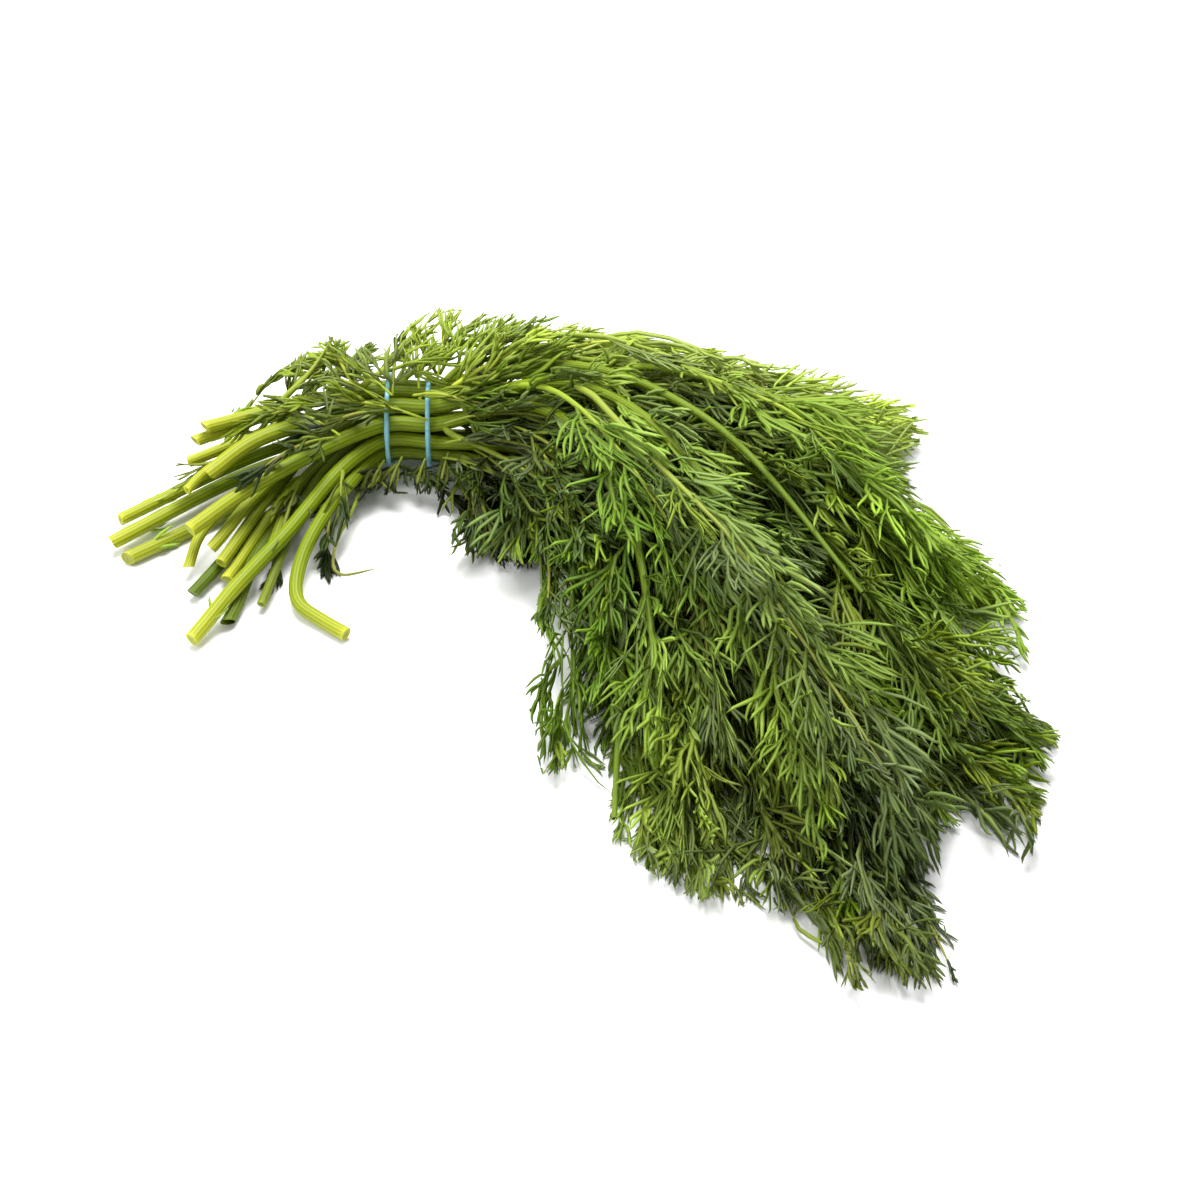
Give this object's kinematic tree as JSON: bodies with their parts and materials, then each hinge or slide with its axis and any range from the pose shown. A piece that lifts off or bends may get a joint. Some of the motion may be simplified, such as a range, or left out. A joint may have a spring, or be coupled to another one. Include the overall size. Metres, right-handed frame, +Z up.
{
  "type": "dill bunch",
  "caption": "Bunch of fresh dill lying on its side: cut green stems held by a twice-wound blue elastic, and feathery leaves that fan out and curve round to one side.",
  "frame": {"origin": "middle of the small flat underside on which the lowest stem rests, 38 mm to the left of the elastic and 15 mm in front of it", "axes": "+X from the cut stems past the elastic to the leaves, +Z up from the surface; the leaves curve round towards -Y"},
  "size_m": [0.3119, 0.2931, 0.06],
  "materials": {
    "dill": "matte",
    "blue_rubber": "matte"
  },
  "bodies": {
    "root": {"stem_01_top_back": "dill", "stem_02_top": "dill", "stem_03_thin": "dill", "stem_04_back": "dill", "stem_05_thick": "dill", "stem_06_long": "dill", "stem_07_long": "dill", "stem_08_low": "dill", "stem_09_big": "dill", "stem_10_stub": "dill", "stem_11": "dill", "stem_12": "dill", "stem_13": "dill", "stem_14_front": "dill", "stem_15_dark": "dill", "stem_16_dark": "dill", "stem_17_thin": "dill", "stem_18_bent": "dill", "stem_19": "dill", "elastic": "blue_rubber"}
  },
  "joints": []
}
